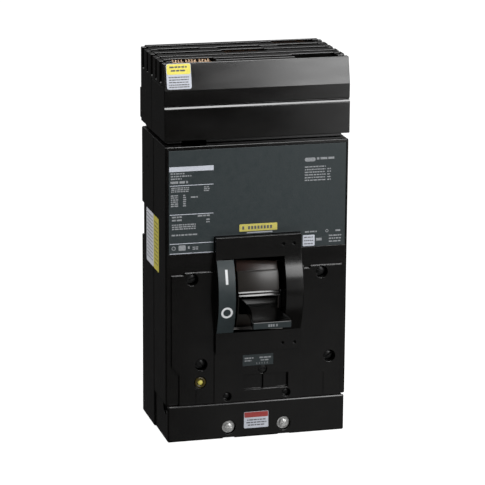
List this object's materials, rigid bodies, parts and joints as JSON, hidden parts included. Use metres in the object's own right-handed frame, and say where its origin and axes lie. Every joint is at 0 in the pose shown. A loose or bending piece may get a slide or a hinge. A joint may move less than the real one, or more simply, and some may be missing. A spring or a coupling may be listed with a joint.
{
  "type": "molded case circuit breaker",
  "caption": "Plug-on molded case breaker: black case with a toggle handle, push-to-trip button, bus-bar jaws at one end and cable lugs at the other.",
  "frame": {"origin": "middle of the bounding box's bottom: the breaker stands on its load end", "axes": "+Z to the line end that plugs onto the bus bars, -Y to the front with the handle, +X to the right seen from the front"},
  "size_m": [0.1524, 0.1478, 0.312],
  "materials": {
    "black_thermoset": "black molded thermoset, fine satin texture with glossy lands",
    "black_gloss": "brown-black glossy molded thermoset",
    "slate_plate": "slate grey printed plate, satin",
    "zinc_steel": "bright zinc plated steel",
    "spring_steel": "stamped steel, light oil film",
    "copper": "copper, lightly oxidised",
    "aluminium": "tin plated aluminium",
    "arc_steel": "dull plated steel plates in a fibre frame",
    "yellow_plastic": "yellow molded plastic",
    "red_thermoset": "red-brown molded thermoset"
  },
  "bodies": {
    "case": {"base": "black_thermoset", "cover": "black_thermoset", "load_end_cover": "black_thermoset", "jaw_housing": "black_thermoset", "line_end_cover": "black_thermoset", "escutcheon": "black_thermoset", "position_plate": "slate_plate", "nameplate": "slate_plate", "cover_screw_upper_left": "zinc_steel", "cover_screw_upper_right": "zinc_steel", "cover_screw_lower_left": "zinc_steel", "cover_screw_lower_right": "zinc_steel", "load_cover_screw_left": "zinc_steel", "mounting_screw_left": "zinc_steel", "mechanism_plate_left": "spring_steel", "load_cover_screw_right": "zinc_steel", "mounting_screw_right": "zinc_steel", "mechanism_plate_right": "spring_steel", "cradle_pin": "zinc_steel", "cradle": "spring_steel", "line_jaw_left": "copper", "arc_chute_left": "arc_steel", "heater_strap_left": "copper", "magnet_left": "spring_steel", "load_lug_left": "aluminium", "lug_screw_left": "zinc_steel", "flexible_braid_left": "copper", "line_jaw_center": "copper", "arc_chute_center": "arc_steel", "heater_strap_center": "copper", "magnet_center": "spring_steel", "load_lug_center": "aluminium", "lug_screw_center": "zinc_steel", "flexible_braid_center": "copper", "line_jaw_right": "copper", "arc_chute_right": "arc_steel", "heater_strap_right": "copper", "magnet_right": "spring_steel", "load_lug_right": "aluminium", "lug_screw_right": "zinc_steel", "flexible_braid_right": "copper"},
    "handle": {"handle": "black_gloss", "handle_yoke": "spring_steel", "main_spring_left": "spring_steel", "main_spring_right": "spring_steel"},
    "crossbar": {"crossbar": "red_thermoset", "contact_arm_left": "copper", "contact_arm_center": "copper", "contact_arm_right": "copper"},
    "upper_link": {"upper_link": "spring_steel"},
    "lower_link": {"lower_link": "spring_steel"},
    "trip_button": {"trip_button": "yellow_plastic", "trip_button_spring": "spring_steel"},
    "trip_bar": {"trip_bar": "black_thermoset"},
    "adjuster_knob": {"adjuster_knob": "zinc_steel"},
    "armature_left": {"armature_left": "zinc_steel"},
    "armature_center": {"armature_center": "zinc_steel"},
    "armature_right": {"armature_right": "zinc_steel"}
  },
  "joints": [
    {"name": "handle_toggle", "type": "hinge", "parent": "case", "child": "handle", "pos_m": [0, 0.02292, 0.1215], "axis": [-1, 0, 0], "range_deg": [0, 26], "deforming": ["main_spring_left", "main_spring_right"]},
    {"name": "crossbar_turn", "type": "hinge", "parent": "case", "child": "crossbar", "pos_m": [0, 0.04392, 0.139], "axis": [-1, 0, 0], "range_deg": [0, 22.1]},
    {"name": "upper_link_turn", "type": "hinge", "parent": "case", "child": "upper_link", "pos_m": [0, 0.01192, 0.1], "axis": [-1, 0, 0], "range_deg": [0, 12.9]},
    {"name": "lower_link_turn", "type": "hinge", "parent": "crossbar", "child": "lower_link", "pos_m": [0, 0.03094, 0.13376], "axis": [-1, 0, 0], "range_deg": [-41, 0]},
    {"name": "trip_button_press", "type": "slide", "parent": "case", "child": "trip_button", "axis": [0, 1, 0], "range_m": [0, 0.003], "stiffness_N_per_m": 300, "springref_m": -0.002, "deforming": ["trip_button_spring"]},
    {"name": "trip_bar_turn", "type": "hinge", "parent": "case", "child": "trip_bar", "pos_m": [0, 0.02092, 0.08], "axis": [1, 0, 0], "range_deg": [0, 5.6]},
    {"name": "adjuster_knob_turn", "type": "hinge", "parent": "case", "child": "adjuster_knob", "pos_m": [0.0049, -0.02668, 0.0574], "axis": [0, 1, 0], "range_deg": [0, 150]},
    {"name": "armature_left_pull", "type": "hinge", "parent": "case", "child": "armature_left", "pos_m": [-0.05, 0.03352, 0.071], "axis": [1, 0, 0], "range_deg": [0, 6], "stiffness_Nm_per_rad": 0.02, "springref_deg": -5.73},
    {"name": "armature_center_pull", "type": "hinge", "parent": "case", "child": "armature_center", "pos_m": [0, 0.03352, 0.071], "axis": [1, 0, 0], "range_deg": [0, 6], "stiffness_Nm_per_rad": 0.02, "springref_deg": -5.73},
    {"name": "armature_right_pull", "type": "hinge", "parent": "case", "child": "armature_right", "pos_m": [0.05, 0.03352, 0.071], "axis": [1, 0, 0], "range_deg": [0, 6], "stiffness_Nm_per_rad": 0.02, "springref_deg": -5.73}
  ],
  "couplings": [
    {"joint": "crossbar_turn", "follows": "handle_toggle", "ratio": 0.8462},
    {"joint": "upper_link_turn", "follows": "handle_toggle", "ratio": 0.49514},
    {"joint": "lower_link_turn", "follows": "handle_toggle", "ratio": -1.5697},
    {"joint": "trip_bar_turn", "follows": "trip_button_press", "rad_per_m": 32.3}
  ]
}
